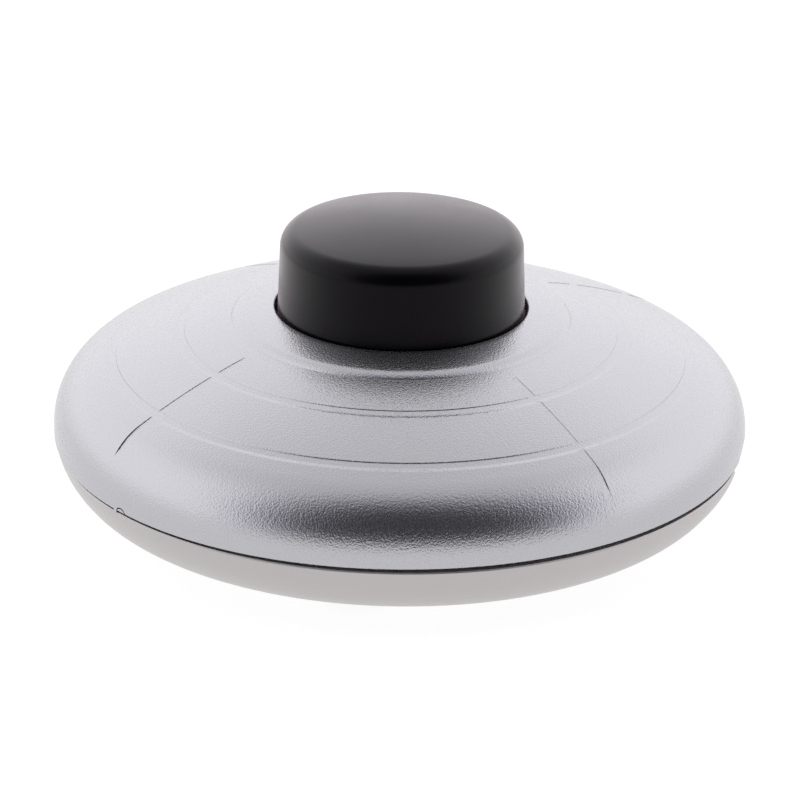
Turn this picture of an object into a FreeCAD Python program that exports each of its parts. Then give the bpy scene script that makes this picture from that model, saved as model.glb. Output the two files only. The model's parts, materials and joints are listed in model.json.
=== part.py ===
import FreeCAD, Part
import os
import re
import Sketcher

# Lamp foot switch. Floor at z = 0, cord axis along X, button pressed along -Z.

# Driving dimensions in millimetres, one cell of the sheet each
SIZES = {
    # Feet and base
    "foot_drop": 1.0,            # how far the feet stand below the base
    "foot_radius": 4.0,
    "foot_seat": 1.0,            # depth of a foot's recess in the base
    "foot_chamfer": 0.3,
    "foot_clearance": 0.1,
    "foot_margin": 0.94,         # from a foot to the base's bottom round
    "base_inset": 0.2,           # base smaller than the dome, in radius
    "base_height": 6.37,
    "base_edge": 8.0,            # round between the base's bottom and its rim
    "base_floor": 1.6,
    "base_corner": 4.4,          # round inside the base
    "base_break": 0.12,          # broken edge at the base's rim
    "lip_height": 2.2,           # locating lip above the base's rim
    "lip_wall": 1.6,
    "lip_clearance": 0.3,
    "seam_gap": 0.35,            # shadow gap between base and dome
    # Dome
    "dome_radius": 36.0,
    "housing_wall": 2.0,
    "rim_height": 1.19,          # upright wall between the rim and the shoulder
    "shoulder_radius": 7.0,
    "crown_radius": 77.0,        # spherical top of the dome
    "rim_round": 0.3,
    "pry_radius": 0.45,          # half-round mark in the rim
    "pry_depth": 0.15,
    "pry_azimuth": -131.0,
    "collar_width": 4.45,
    "collar_height": 0.45,
    "collar_edge": 0.8,
    "collar_round": 1.15,
    "hole_round": 0.25,
    "hole_lip": 2.1,             # thickness of the dome at the button hole
    "inner_ring_gap": 5.3,       # inner ring groove from the collar
    "outer_ring_inset": 6.25,    # outer ring groove from the dome's edge
    "groove_width": 0.8,
    "groove_depth": 0.13,
    "spoke_width": 0.28,
    "spoke_depth": 0.1,
    "spoke_gap": 1.8,            # radial grooves from the collar
    "spoke_inset": 1.1,          # and from the dome's edge
    "sleeve_wall": 1.6,          # button guide under the dome
    "sleeve_depth": 6.2,
    "guide_clearance": 0.4,
    "key_width": 2.4,            # rib that stops the button turning
    "key_depth": 1.0,
    "key_clearance": 0.3,
    # Button
    "button_radius": 12.85,
    "button_top_radius": 12.55,
    "button_clearance": 0.2,
    "button_proud": 9.36,       # top of the button above the hole's edge
    "button_crown": 57.0,
    "button_round": 2.0,
    "button_wall": 1.8,
    "button_roof": 2.36,
    "button_corner": 2.2,
    "flange_width": 1.75,
    "flange_height": 1.5,
    "stop_gap": 0.1,
    # Ratchet
    "tooth_rise": 4.5,
    "tooth_count": 8,
    "tooth_lead": 42.5,          # how far the button's teeth are turned from the rotor's, degrees
    "tooth_gap": 0.2,
    "drive_inner": 4.2,
    "drive_outer": 6.6,
    "cut_margin": 0.3,
    "rotor_radius": 6.7,
    "rotor_disc": 2.2,
    "rotor_gap": 0.05,           # end float between rotor and its support
    "hub_radius": 3.6,
    "hub_height": 2.0,
    "pin_radius": 1.5,
    "pin_running": 0.06,
    "pin_press": 0.02,
    "pin_head_radius": 2.6,
    "pin_head": 1.0,
    "pin_lift": 0.3,             # lower end of the pin above the base
    # Contacts and carrier
    "bridge_thickness": 0.8,
    "bridge_hole": 3.0,
    "bridge_ring": 4.4,
    "bridge_arm": 2.4,
    "bridge_reach": 6.2,
    "bridge_clearance": 0.05,
    "strip_thickness": 0.6,
    "dimple_radius": 0.9,
    "dimple_height": 0.3,
    "dimple_offset": 5.2,
    "dimple_gap": 0.1,
    "finger_tip": 3.6,
    "finger_width": 3.6,
    "tab_gap": 2.1,              # terminal tab from the well
    "tab_inset": 1.5,            # and from the plate's end
    "tab_width": 8.0,
    "link_gap": 1.6,             # neutral strip from the well
    "link_inset": 4.5,           # and from the plate's end
    "link_width": 6.0,
    "link_screw_inset": 4.0,
    "plate_gap": 5.0,            # plate's end from the middle of a cord clamp
    "plate_margin": 1.0,         # plate in front of the neutral strip
    "plate_rear": 14.5,
    "plate_corner": 3.0,
    "plate_thickness": 1.6,
    "well_inner": 7.0,
    "well_wall": 2.4,
    "well_height": 7.8,
    "slot_clearance": 0.3,
    "slot_height": 1.2,
    "boss_radius": 2.6,
    "barrier_offset": 8.6,
    "barrier_thickness": 1.2,
    "barrier_height": 5.0,
    "barrier_start": 10.5,
    # Return spring
    "spring_radius": 8.0,
    "wire_radius": 0.45,
    "wire_sides": 8,             # flats round the wire, few so that its helix stays light
    "spring_turns": 5.5,
    "spring_seat_gap": 0.05,
    # Cord inlets and clamps
    "inlet_width": 8.6,
    "inlet_corner": 1.2,
    "inlet_arch": 9.0,           # radius of the arch in the dome's rim above an inlet
    "clamp_inset": 5.6,          # middle of a clamp from the lip
    "post_radius": 2.3,
    "post_clearance": 0.2,
    "post_height": 5.05,
    "bar_width": 5.0,
    "bar_thickness": 2.4,
    "ridge_height": 0.5,
    "ridge_width": 0.8,
    "ridge_spacing": 2.4,
    # Screws
    "screw_running": 0.05,
    "hole_bottom": 0.5,          # room below a screw's end
    "screw_inset": 5.9,          # housing screws from the lip, across the cord
    "pillar_radius": 4.2,
    "pillar_height": 5.6,
    "dome_boss_radius": 3.6,
    "head_recess": 2.4,
    "head_clearance": 0.3,
    "shank_clearance": 0.25,
    "housing_screw_radius": 1.5,
    "housing_screw_length": 9.0,
    "housing_head_radius": 3.0,
    "housing_head": 1.9,
    "clamp_screw_radius": 1.2,
    "clamp_screw_length": 5.6,
    "clamp_head_radius": 2.3,
    "clamp_head": 1.5,
    "terminal_screw_radius": 1.5,
    "terminal_screw_length": 1.7,
    "terminal_head_radius": 2.8,
    "terminal_head": 1.8,
    "carrier_screw_x": 10.5,
    "carrier_screw_y": 11.0,
    "carrier_screw_radius": 1.2,
    "carrier_screw_length": 2.5,
    "carrier_head_radius": 3.2,
    "carrier_head": 1.6,
    "carrier_post_radius": 2.4,
    "carrier_post_gap": 0.1,
    "drive_width": 0.7,          # slot or cross in a screw's head
    "drive_depth": 0.8,
    "drive_share": 0.6,          # length of the cross as a share of the head
}

doc = FreeCAD.newDocument("FootSwitch")
sheet = doc.addObject("Spreadsheet::Sheet", "Sizes")
for row, (alias, size) in enumerate(SIZES.items(), start=1):
    sheet.set(f"A{row}", alias)
    sheet.set(f"B{row}", str(size))
    sheet.setAlias(f"B{row}", alias)
doc.recompute()

# Heights that several pieces share, as expressions of the cells
BASE_TOP = "(foot_drop + base_height)"
FLOOR = "(foot_drop + base_floor)"
RIM = f"({BASE_TOP} + seam_gap)"
LIP_OUTER = "(dome_radius - housing_wall - lip_clearance)"
LIP_INNER = f"({LIP_OUTER} - lip_wall)"
BASE_RADIUS = "(dome_radius - base_inset)"
BASE_SIDE = "(base_height - base_break)"
BASE_FLAT = f"({BASE_RADIUS} - sqrt(2 * base_edge * {BASE_SIDE} - {BASE_SIDE}^2))"
FOOT_OFFSET = f"(({BASE_FLAT} - foot_margin - foot_radius) / sqrt(2))"
SHOULDER_R = "(dome_radius - shoulder_radius)"
SHOULDER_Z = f"({RIM} + rim_height)"
CROWN_CENTRE = f"({SHOULDER_Z} - sqrt((crown_radius - shoulder_radius)^2 - {SHOULDER_R}^2))"
HOLE = "(button_radius + button_clearance)"
COLLAR = f"({HOLE} + collar_width)"
SPOKE_START = f"({COLLAR} + spoke_gap)"
SPOKE_END = "(dome_radius - spoke_inset)"
SCREW_Y = f"({LIP_INNER} - screw_inset)"
CLAMP_X = f"({LIP_INNER} - clamp_inset)"
PILLAR_TOP = f"({FLOOR} + pillar_height)"
POST_TOP = f"({FLOOR} + post_height)"
POST_Y = "(inlet_width / 2 + post_radius + post_clearance)"
PLATE_TOP = f"({FLOOR} + plate_thickness)"
STRIP_TOP = f"({PLATE_TOP} + strip_thickness)"
ROTOR_BOTTOM = f"({STRIP_TOP} + dimple_height + dimple_gap)"
TOOTH_ROOT = f"({ROTOR_BOTTOM} + rotor_disc)"
HUB_TOP = f"({TOOTH_ROOT} + hub_height)"
WELL_TOP = f"({PLATE_TOP} + well_height)"
DRIVE_TIP = f"({TOOTH_ROOT} + tooth_rise * tooth_lead * tooth_count / 360 + tooth_gap)"
FLANGE = "(button_radius + flange_width)"
SLEEVE_INNER = f"({FLANGE} + guide_clearance)"
SLEEVE_OUTER = f"({SLEEVE_INNER} + sleeve_wall)"
WELL_OUTER = "(well_inner + well_wall)"
PLATE_END = f"({CLAMP_X} - plate_gap)"
TAB_START = f"({WELL_OUTER} + tab_gap)"
TAB_END = f"({PLATE_END} - tab_inset)"
TAB_SCREW = f"(({TAB_START} + {TAB_END}) / 2)"
LINK_Y = f"(-{WELL_OUTER} - link_gap - link_width / 2)"
LINK_END = f"({PLATE_END} - link_inset)"
LINK_SCREW = f"({LINK_END} - link_screw_inset)"
SIDES = ("-1", "1")
TERMINALS = [(f"{side} * {TAB_SCREW}", "0") for side in SIDES]
TERMINALS += [(f"{side} * {LINK_SCREW}", LINK_Y) for side in SIDES]


def on_crown(radius, lift="0"):
    """Height of the dome's sphere, raised by lift, at a radius."""
    return f"({CROWN_CENTRE} + sqrt((crown_radius + {lift})^2 - ({radius})^2))"


def shoulder_start(depth):
    """Point where the sphere, sunk by depth, runs into the shoulder."""
    share = f"(crown_radius - {depth}) / (crown_radius - shoulder_radius)"
    return (f"({SHOULDER_R} * {share})",
            f"({CROWN_CENTRE} + ({SHOULDER_Z} - {CROWN_CENTRE}) * {share})")


HOLE_TOP = on_crown(HOLE, "collar_height")
STOP = f"({HOLE_TOP} - hole_lip)"
SLEEVE_BOTTOM = f"({STOP} - sleeve_depth)"
BUTTON_TOP = f"({HOLE_TOP} + button_proud)"
CEILING = f"({BUTTON_TOP} - button_roof)"


def linked(expression):
    """The expression with each alias written as a cell of the sheet."""
    return re.sub(r"[a-z_]+", lambda word: f"Sizes.{word[0]}" if word[0] in SIZES else word[0], expression)


def value(expression):
    return float(sheet.evalExpression(linked(expression)))


def bind(item, **expressions):
    for name, expression in expressions.items():
        item.setExpression(name.replace("__", "."), linked(expression))


def new_body(label):
    body = doc.addObject("PartDesign::Body", label)
    body.Label = label
    return body


def new_sketch(body, name, plane, offset="0", turn=0.0):
    """Sketch on an origin plane, moved along its normal and turned about the plane's own upright."""
    sketch = body.newObject("Sketcher::SketchObject", name)
    support = next(item for item in body.Origin.OriginFeatures if item.Role == plane)
    sketch.AttachmentSupport = [(support, "")]
    sketch.MapMode = "FlatFace"
    sketch.AttachmentOffset = FreeCAD.Placement(
        FreeCAD.Vector(0, 0, 0), FreeCAD.Rotation(FreeCAD.Vector(0, 1, 0), turn))
    bind(sketch, AttachmentOffset__Base__z=offset)
    return sketch


def lock(sketch, kind, where, expression, label):
    index = sketch.addConstraint(Sketcher.Constraint(kind, *where, value(expression)))
    sketch.renameConstraint(index, label)
    sketch.setExpression(f"Constraints.{label}", linked(expression))


def arc_between(start, end, radius, side):
    """Arc from start to end that bends to the left (side 1) or to the right (side -1)."""
    chord = end - start
    rise = (radius ** 2 - (chord.Length / 2) ** 2) ** 0.5
    normal = FreeCAD.Vector(-chord.y, chord.x, 0).normalize()
    centre = (start + end) / 2 + normal * rise * side
    middle = centre - normal * radius * side
    return Part.Arc(start, middle, end)


def outline(sketch, *corners):
    """Closed outline. A corner is (x, y), or (x, y, radius, side) where an arc leads to the next one."""
    points = [FreeCAD.Vector(value(corner[0]), value(corner[1]), 0) for corner in corners]
    first = sketch.GeometryCount
    ends = []
    for here, corner in enumerate(corners):
        start, end = points[here], points[(here + 1) % len(points)]
        if len(corner) == 2:
            sketch.addGeometry(Part.LineSegment(start, end), False)
            ends.append((1, 2))
        else:
            sketch.addGeometry(arc_between(start, end, value(corner[2]), corner[3]), False)
            ends.append((1, 2) if corner[3] > 0 else (2, 1))
    for here, corner in enumerate(corners):
        edge = first + here
        following = (here + 1) % len(corners)
        joint = ("Coincident", edge, ends[here][1], first + following, ends[following][0])
        sketch.addConstraint(Sketcher.Constraint(*joint))
        lock(sketch, "DistanceX", (-1, 1, edge, ends[here][0]), corner[0], f"x{edge}")
        lock(sketch, "DistanceY", (-1, 1, edge, ends[here][0]), corner[1], f"y{edge}")
        if len(corner) > 2:
            lock(sketch, "Radius", (edge,), corner[2], f"r{edge}")


def rectangle(sketch, left, bottom, right, top):
    outline(sketch, (left, bottom), (right, bottom), (right, top), (left, top))


def circle(sketch, radius, x="0", y="0"):
    edge = sketch.GeometryCount
    centre = FreeCAD.Vector(value(x), value(y), 0)
    sketch.addGeometry(Part.Circle(centre, FreeCAD.Vector(0, 0, 1), value(radius)), False)
    lock(sketch, "DistanceX", (-1, 1, edge, 3), x, f"x{edge}")
    lock(sketch, "DistanceY", (-1, 1, edge, 3), y, f"y{edge}")
    lock(sketch, "Radius", (edge,), radius, f"r{edge}")


def revolve(body, sketch, kind="Revolution"):
    """Revolution or Groove round the part's upright axis."""
    turned = body.newObject(f"PartDesign::{kind}", kind)
    turned.Profile = sketch
    turned.ReferenceAxis = (sketch, ["V_Axis"])
    turned.Angle = 360
    return turned


def extrude(body, kind, sketch, length, upward=True):
    """Pad or Pocket along the sketch's normal, or against it."""
    feature = body.newObject(f"PartDesign::{kind}", kind)
    feature.Profile = sketch
    feature.Reversed = upward == (kind == "Pocket")
    bind(feature, Length=length)
    return feature


def around(body, feature, copies):
    """Polar pattern of a feature about the part's upright axis."""
    pattern = body.newObject("PartDesign::PolarPattern", "Around")
    pattern.Originals = [feature]
    upright = next(item for item in body.Origin.OriginFeatures if item.Role == "Z_Axis")
    pattern.Axis = (upright, [""])
    pattern.Angle = 360
    bind(pattern, Occurrences=copies)
    body.Tip = pattern
    return pattern


def cut_teeth(body, name, bottom, top, inner, outer, turn):
    """Cuts one helical ramp and repeats it, which leaves a ring of saw teeth."""
    sketch = new_sketch(body, name, "XZ_Plane", turn=turn)
    rectangle(sketch, f"{inner} - cut_margin", bottom, f"{outer} + cut_margin", top)
    ramp = body.newObject("PartDesign::SubtractiveHelix", "Ramp")
    ramp.Profile = sketch
    ramp.ReferenceAxis = (sketch, ["V_Axis"])
    ramp.Mode = "pitch-height-angle"
    bind(ramp, Pitch="tooth_rise * tooth_count", Height="tooth_rise")
    around(body, ramp, "tooth_count")


def ring_groove(radius):
    """Corners of a shallow ring groove in the dome's profile."""
    inner, outer = f"({radius} - groove_width / 2)", f"({radius} + groove_width / 2)"
    return [(inner, on_crown(inner)), (inner, on_crown(inner, "-groove_depth")),
            (outer, on_crown(outer, "-groove_depth")), (outer, on_crown(outer), "crown_radius", -1)]


def make_upper_housing():
    body = new_body("upper_housing")
    above = f"{CROWN_CENTRE} + crown_radius + cut_margin"

    # Screw bosses, trimmed to end inside the dome's wall before the dome is turned round them
    bosses = new_sketch(body, "Bosses", "XY_Plane", PILLAR_TOP)
    for side in SIDES:
        circle(bosses, "dome_boss_radius", y=f"{side} * {SCREW_Y}")
    extrude(body, "Pad", bosses, f"{above} - {PILLAR_TOP}")
    trim = new_sketch(body, "BossTrim", "XZ_Plane")
    outline(
        trim,
        ("0", on_crown("0", "-housing_wall / 2"), "crown_radius - housing_wall / 2", -1),
        ("dome_radius", on_crown("dome_radius", "-housing_wall / 2")),
        ("dome_radius", above),
        ("0", above))
    revolve(body, trim, "Groove")

    profile = new_sketch(body, "DomeProfile", "XZ_Plane")
    collar_inner, collar_top = f"({HOLE} + hole_round)", f"({COLLAR} - collar_edge)"
    outline(
        profile,
        (HOLE, f"{on_crown(collar_inner, 'collar_height')} - hole_round", "hole_round", -1),
        (collar_inner, on_crown(collar_inner, "collar_height"), "crown_radius + collar_height", -1),
        (collar_top, on_crown(collar_top, "collar_height"), "collar_round", -1),
        (COLLAR, on_crown(COLLAR), "crown_radius", -1),
        *ring_groove(f"({COLLAR} + inner_ring_gap)"),
        *ring_groove("(dome_radius - outer_ring_inset)"),
        (*shoulder_start("0"), "shoulder_radius", -1),
        ("dome_radius", SHOULDER_Z),
        ("dome_radius", f"{RIM} + rim_round", "rim_round", -1),
        ("dome_radius - rim_round", RIM),
        ("dome_radius - housing_wall", RIM),
        ("dome_radius - housing_wall", SHOULDER_Z, "shoulder_radius - housing_wall", 1),
        (*shoulder_start("housing_wall"), "crown_radius - housing_wall", 1),
        (SLEEVE_OUTER, on_crown(SLEEVE_OUTER, "-housing_wall")),
        (SLEEVE_OUTER, SLEEVE_BOTTOM),
        (SLEEVE_INNER, SLEEVE_BOTTOM),
        (SLEEVE_INNER, STOP),
        (HOLE, STOP))
    revolve(body, profile)

    # Radial grooves midway between the cord axis and the axis across it
    spoke = new_sketch(body, "SpokeProfile", "XZ_Plane", turn=45.0)
    depth_end = "sqrt((shoulder_radius - spoke_depth)^2 - (shoulder_radius - spoke_inset)^2)"
    outline(
        spoke,
        (SPOKE_START, above),
        (SPOKE_START, on_crown(SPOKE_START, "-spoke_depth"), "crown_radius - spoke_depth", -1),
        (*shoulder_start("spoke_depth"), "shoulder_radius - spoke_depth", -1),
        (SPOKE_END, f"{SHOULDER_Z} + {depth_end}"),
        (SPOKE_END, above))
    groove = body.newObject("PartDesign::Pocket", "Spoke")
    groove.Profile = spoke
    groove.Midplane = True
    bind(groove, Length="spoke_width")
    around(body, groove, "4")

    keys = new_sketch(body, "Keys", "XY_Plane", SLEEVE_BOTTOM)
    for side in SIDES:
        rectangle(keys, "-key_width / 2", f"{side} * ({SLEEVE_INNER} - key_depth)",
                  "key_width / 2", f"{side} * ({SLEEVE_INNER} + sleeve_wall / 2)")
    extrude(body, "Pad", keys, "sleeve_depth")

    pilots = new_sketch(body, "Pilots", "XY_Plane", PILLAR_TOP)
    for side in SIDES:
        circle(pilots, "housing_screw_radius + screw_running", y=f"{side} * {SCREW_Y}")
    seat = "pillar_height + base_floor - head_recess"
    extrude(body, "Pocket", pilots, f"housing_screw_length - ({seat}) + hole_bottom")

    # Flat arches in the rim close the cord inlets above
    start, side = f"({LIP_OUTER} - cut_margin)", "inlet_width / 2"
    arch = new_sketch(body, "InletArch", "YZ_Plane", start)
    outline(
        arch,
        (f"-{side}", f"{RIM} - cut_margin"),
        (side, f"{RIM} - cut_margin"),
        (side, RIM, "inlet_arch", 1),
        (f"-{side}", RIM))
    opening = extrude(body, "Pocket", arch, f"dome_radius + cut_margin - {start}")
    around(body, opening, "2")

    pry = new_sketch(body, "PryMark", "YZ_Plane", turn=SIZES["pry_azimuth"])
    bind(pry, AttachmentOffset__Base__x="(dome_radius - pry_depth) * sin(pry_azimuth)",
         AttachmentOffset__Base__z="(dome_radius - pry_depth) * cos(pry_azimuth)")
    circle(pry, "pry_radius", y=RIM)
    extrude(body, "Pocket", pry, "pry_depth + cut_margin")
    return body


def make_base_housing():
    body = new_body("base_housing")
    profile = new_sketch(body, "DishProfile", "XZ_Plane")
    outline(
        profile,
        ("0", "foot_drop"),
        (BASE_FLAT, "foot_drop", "base_edge", 1),
        (BASE_RADIUS, f"foot_drop + {BASE_SIDE}"),
        (f"{BASE_RADIUS} - base_break", BASE_TOP),
        (LIP_OUTER, BASE_TOP),
        (LIP_OUTER, f"{BASE_TOP} + lip_height"),
        (LIP_INNER, f"{BASE_TOP} + lip_height"),
        (LIP_INNER, f"{FLOOR} + base_corner", "base_corner", -1),
        (f"{LIP_INNER} - base_corner", FLOOR),
        ("0", FLOOR))
    revolve(body, profile)

    # Upright pillars and posts, each with the hole for its screw
    pillars = new_sketch(body, "Pillars", "XY_Plane", FLOOR)
    posts = new_sketch(body, "ClampPosts", "XY_Plane", FLOOR)
    studs = new_sketch(body, "CarrierPosts", "XY_Plane", FLOOR)
    heads = new_sketch(body, "HeadRecesses", "XY_Plane", "foot_drop")
    shanks = new_sketch(body, "ShankHoles", "XY_Plane", "foot_drop")
    clamp_pilots = new_sketch(body, "ClampPilots", "XY_Plane", POST_TOP)
    carrier_pilots = new_sketch(body, "CarrierPilots", "XY_Plane", PLATE_TOP)
    seats = new_sketch(body, "FootSeats", "XY_Plane", "foot_drop")
    for side in SIDES:
        circle(pillars, "pillar_radius", y=f"{side} * {SCREW_Y}")
        circle(heads, "housing_head_radius + head_clearance", y=f"{side} * {SCREW_Y}")
        circle(shanks, "housing_screw_radius + shank_clearance", y=f"{side} * {SCREW_Y}")
        carrier_place = (f"{side} * carrier_screw_x", "carrier_screw_y")
        circle(studs, "carrier_post_radius", *carrier_place)
        circle(carrier_pilots, "carrier_screw_radius + screw_running", *carrier_place)
        for end in SIDES:
            clamp_place = (f"{end} * {CLAMP_X}", f"{side} * {POST_Y}")
            circle(posts, "post_radius", *clamp_place)
            circle(clamp_pilots, "clamp_screw_radius + screw_running", *clamp_place)
            foot_place = (f"{end} * {FOOT_OFFSET}", f"{side} * {FOOT_OFFSET}")
            circle(seats, "foot_radius + foot_clearance", *foot_place)
    extrude(body, "Pad", pillars, "pillar_height")
    extrude(body, "Pad", posts, "post_height")
    extrude(body, "Pad", studs, "plate_thickness - carrier_post_gap")
    extrude(body, "Pocket", heads, "head_recess")
    extrude(body, "Pocket", shanks, "base_floor + pillar_height")
    extrude(body, "Pocket", seats, "foot_seat")
    extrude(body, "Pocket", clamp_pilots, "clamp_screw_length - bar_thickness + hole_bottom", upward=False)
    extrude(body, "Pocket", carrier_pilots, "carrier_screw_length + hole_bottom", upward=False)

    # Cord inlets: notches level with the floor, closed above by the dome's rim
    start = f"({LIP_INNER} - base_corner)"
    inlet = new_sketch(body, "Inlet", "YZ_Plane", start)
    side, top = "inlet_width / 2", f"{BASE_TOP} + lip_height + cut_margin"
    outline(
        inlet,
        (f"-{side}", top),
        (f"-{side}", f"{FLOOR} + inlet_corner", "inlet_corner", 1),
        (f"-{side} + inlet_corner", FLOOR),
        (f"{side} - inlet_corner", FLOOR, "inlet_corner", 1),
        (side, f"{FLOOR} + inlet_corner"),
        (side, top))
    notch = extrude(body, "Pocket", inlet, f"{BASE_RADIUS} + cut_margin - {start}")
    around(body, notch, "2")
    return body


def make_push_button():
    body = new_body("push_button")
    profile = new_sketch(body, "ButtonProfile", "XZ_Plane")
    centre = f"({BUTTON_TOP} - button_crown)"
    round_r = "(button_top_radius - button_round)"
    reach = "(button_crown - button_round)"
    round_z = f"({centre} + sqrt({reach}^2 - {round_r}^2))"
    share = f"button_crown / {reach}"
    skirt = "(button_top_radius - button_wall)"
    flange_top = f"({STOP} - stop_gap)"
    flange_bottom = f"({flange_top} - flange_height)"
    outline(
        profile,
        ("0", BUTTON_TOP, "button_crown", -1),
        (f"{round_r} * {share}", f"{centre} + ({round_z} - {centre}) * {share}", "button_round", -1),
        ("button_top_radius", round_z),
        ("button_radius", flange_top),
        (FLANGE, flange_top),
        (FLANGE, flange_bottom),
        (skirt, flange_bottom),
        (skirt, f"{CEILING} - button_corner", "button_corner", 1),
        (f"{skirt} - button_corner", CEILING),
        ("drive_outer", CEILING),
        ("drive_outer", DRIVE_TIP),
        ("drive_inner", DRIVE_TIP),
        ("drive_inner", CEILING),
        ("0", CEILING))
    revolve(body, profile)

    # Keyways in the flange ride on the ribs of the guide
    keyways = new_sketch(body, "Keyways", "XY_Plane", flange_top)
    half = "(key_width / 2 + key_clearance)"
    for side in SIDES:
        rectangle(keyways, f"-{half}", f"{side} * ({SLEEVE_INNER} - key_depth - key_clearance)",
                  half, f"{side} * {SLEEVE_OUTER}")
    extrude(body, "Pocket", keyways, "flange_height", upward=False)

    cut_teeth(body, "DriveTooth", f"{DRIVE_TIP} - 2 * tooth_rise", DRIVE_TIP,
              "drive_inner", "drive_outer", value("tooth_lead"))
    return body


def make_ratchet_rotor():
    body = new_body("ratchet_rotor")
    profile = new_sketch(body, "RotorProfile", "XZ_Plane")
    bore = "(pin_radius + pin_running)"
    outline(
        profile,
        (bore, ROTOR_BOTTOM),
        ("rotor_radius", ROTOR_BOTTOM),
        ("rotor_radius", f"{TOOTH_ROOT} + tooth_rise"),
        ("drive_inner", f"{TOOTH_ROOT} + tooth_rise"),
        ("drive_inner", TOOTH_ROOT),
        ("hub_radius", TOOTH_ROOT),
        ("hub_radius", HUB_TOP),
        (bore, HUB_TOP))
    revolve(body, profile)
    cut_teeth(body, "RotorTooth", TOOTH_ROOT, f"{TOOTH_ROOT} + 2 * tooth_rise",
              "drive_inner", "rotor_radius", 0.0)
    cross(body, "Pocket", "bridge_clearance")
    turn_by_one_tooth(body)
    return body


def make_contact_bridge():
    body = new_body("contact_bridge")
    cross(body, "Pad", "0")
    turn_by_one_tooth(body)
    return body


def cross(body, kind, clearance):
    """Ring with four arms in the rotor's underside, as the brass bridge or as the recess for it."""
    ring = new_sketch(body, "BridgeRing", "XY_Plane", ROTOR_BOTTOM)
    circle(ring, f"bridge_ring + {clearance}")
    circle(ring, f"bridge_hole - {clearance}")
    extrude(body, kind, ring, "bridge_thickness")
    arm = new_sketch(body, "BridgeArm", "XY_Plane", ROTOR_BOTTOM)
    half = f"(bridge_arm / 2 + {clearance})"
    rectangle(arm, "(bridge_hole + bridge_ring) / 2", f"-{half}", f"bridge_reach + {clearance}", half)
    feature = extrude(body, kind, arm, "bridge_thickness")
    around(body, feature, "4")


def turn_by_one_tooth(body):
    """Sets the arms between the fixed contacts, which is the off position."""
    step = FreeCAD.Rotation(FreeCAD.Vector(0, 0, 1), value("360 / tooth_count"))
    body.Placement = FreeCAD.Placement(FreeCAD.Vector(0, 0, 0), step)


def make_pivot_pin():
    body = new_body("pivot_pin")
    profile = new_sketch(body, "PinProfile", "XZ_Plane")
    bottom, seat = f"({FLOOR} + pin_lift)", f"({HUB_TOP} + rotor_gap)"
    outline(
        profile,
        ("0", bottom),
        ("pin_radius", bottom),
        ("pin_radius", seat),
        ("pin_head_radius", seat),
        ("pin_head_radius", f"{seat} + pin_head"),
        ("0", f"{seat} + pin_head"))
    revolve(body, profile)
    return body


def make_contact_carrier():
    body = new_body("contact_carrier")
    plate = new_sketch(body, "Plate", "XY_Plane", FLOOR)
    corner = "plate_corner"
    front = f"({LINK_Y} - link_width / 2 - plate_margin)"
    outline(
        plate,
        (f"-{PLATE_END} + {corner}", front),
        (f"{PLATE_END} - {corner}", front, corner, 1),
        (PLATE_END, f"{front} + {corner}"),
        (PLATE_END, f"plate_rear - {corner}", corner, 1),
        (f"{PLATE_END} - {corner}", "plate_rear"),
        (f"-{PLATE_END} + {corner}", "plate_rear", corner, 1),
        (f"-{PLATE_END}", f"plate_rear - {corner}"),
        (f"-{PLATE_END}", f"{front} + {corner}", corner, 1))
    extrude(body, "Pad", plate, "plate_thickness")

    well = new_sketch(body, "Well", "XY_Plane", PLATE_TOP)
    circle(well, "well_inner")
    circle(well, WELL_OUTER)
    extrude(body, "Pad", well, "well_height")
    slots = new_sketch(body, "FingerSlots", "XY_Plane", PLATE_TOP)
    half = "(finger_width / 2 + slot_clearance)"
    rectangle(slots, f"-{WELL_OUTER} - cut_margin", f"-{half}", f"{WELL_OUTER} + cut_margin", half)
    extrude(body, "Pocket", slots, "slot_height")

    support = new_sketch(body, "RotorSupport", "XY_Plane", PLATE_TOP)
    circle(support, "boss_radius")
    extrude(body, "Pad", support, f"{ROTOR_BOTTOM} - rotor_gap - {PLATE_TOP}")
    barriers = new_sketch(body, "Barriers", "XY_Plane", PLATE_TOP)
    for side in SIDES:
        rectangle(barriers, f"{side} * barrier_start", "-barrier_offset - barrier_thickness / 2",
                  f"{side} * {PLATE_END}", "-barrier_offset + barrier_thickness / 2")
    extrude(body, "Pad", barriers, "barrier_height")

    holes = new_sketch(body, "Holes", "XY_Plane", f"{FLOOR} - cut_margin")
    circle(holes, "pin_radius + pin_press")
    for side in SIDES:
        circle(holes, "carrier_post_radius + screw_running", f"{side} * carrier_screw_x", "carrier_screw_y")
    for place in TERMINALS:
        circle(holes, "terminal_screw_radius + shank_clearance", *place)
    extrude(body, "Pocket", holes, f"{ROTOR_BOTTOM} - {FLOOR} + cut_margin")
    return body


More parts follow.
